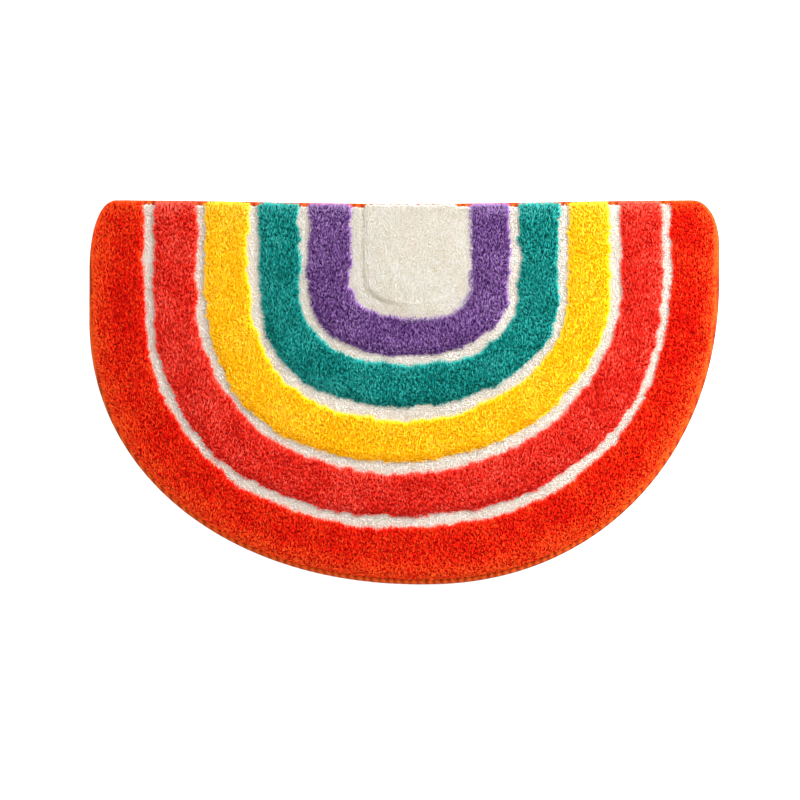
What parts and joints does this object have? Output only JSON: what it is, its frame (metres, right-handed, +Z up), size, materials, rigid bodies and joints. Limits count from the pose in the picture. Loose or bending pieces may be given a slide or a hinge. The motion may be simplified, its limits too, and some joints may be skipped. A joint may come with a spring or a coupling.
{
  "type": "rug",
  "caption": "Half-round tufted bath rug with carved concentric colour bands, low cream channels and a serged edge, lying flat.",
  "frame": {"origin": "centre of the rug's box in the plan, on the surface that it lies on", "axes": "+X along the straight edge, +Y from the round edge towards the straight edge, +Z up out of the pile"},
  "size_m": [0.8, 0.495, 0.0205],
  "materials": {
    "tufted_pile": "matte cut yarn pile in scarlet, coral, yellow, teal, violet and cream bands",
    "serging_yarn": "soft orange yarn, wrapped in close slanted stitches"
  },
  "bodies": {
    "root": {"tufted_body": "tufted_pile", "serged_edge": "serging_yarn"}
  },
  "joints": []
}
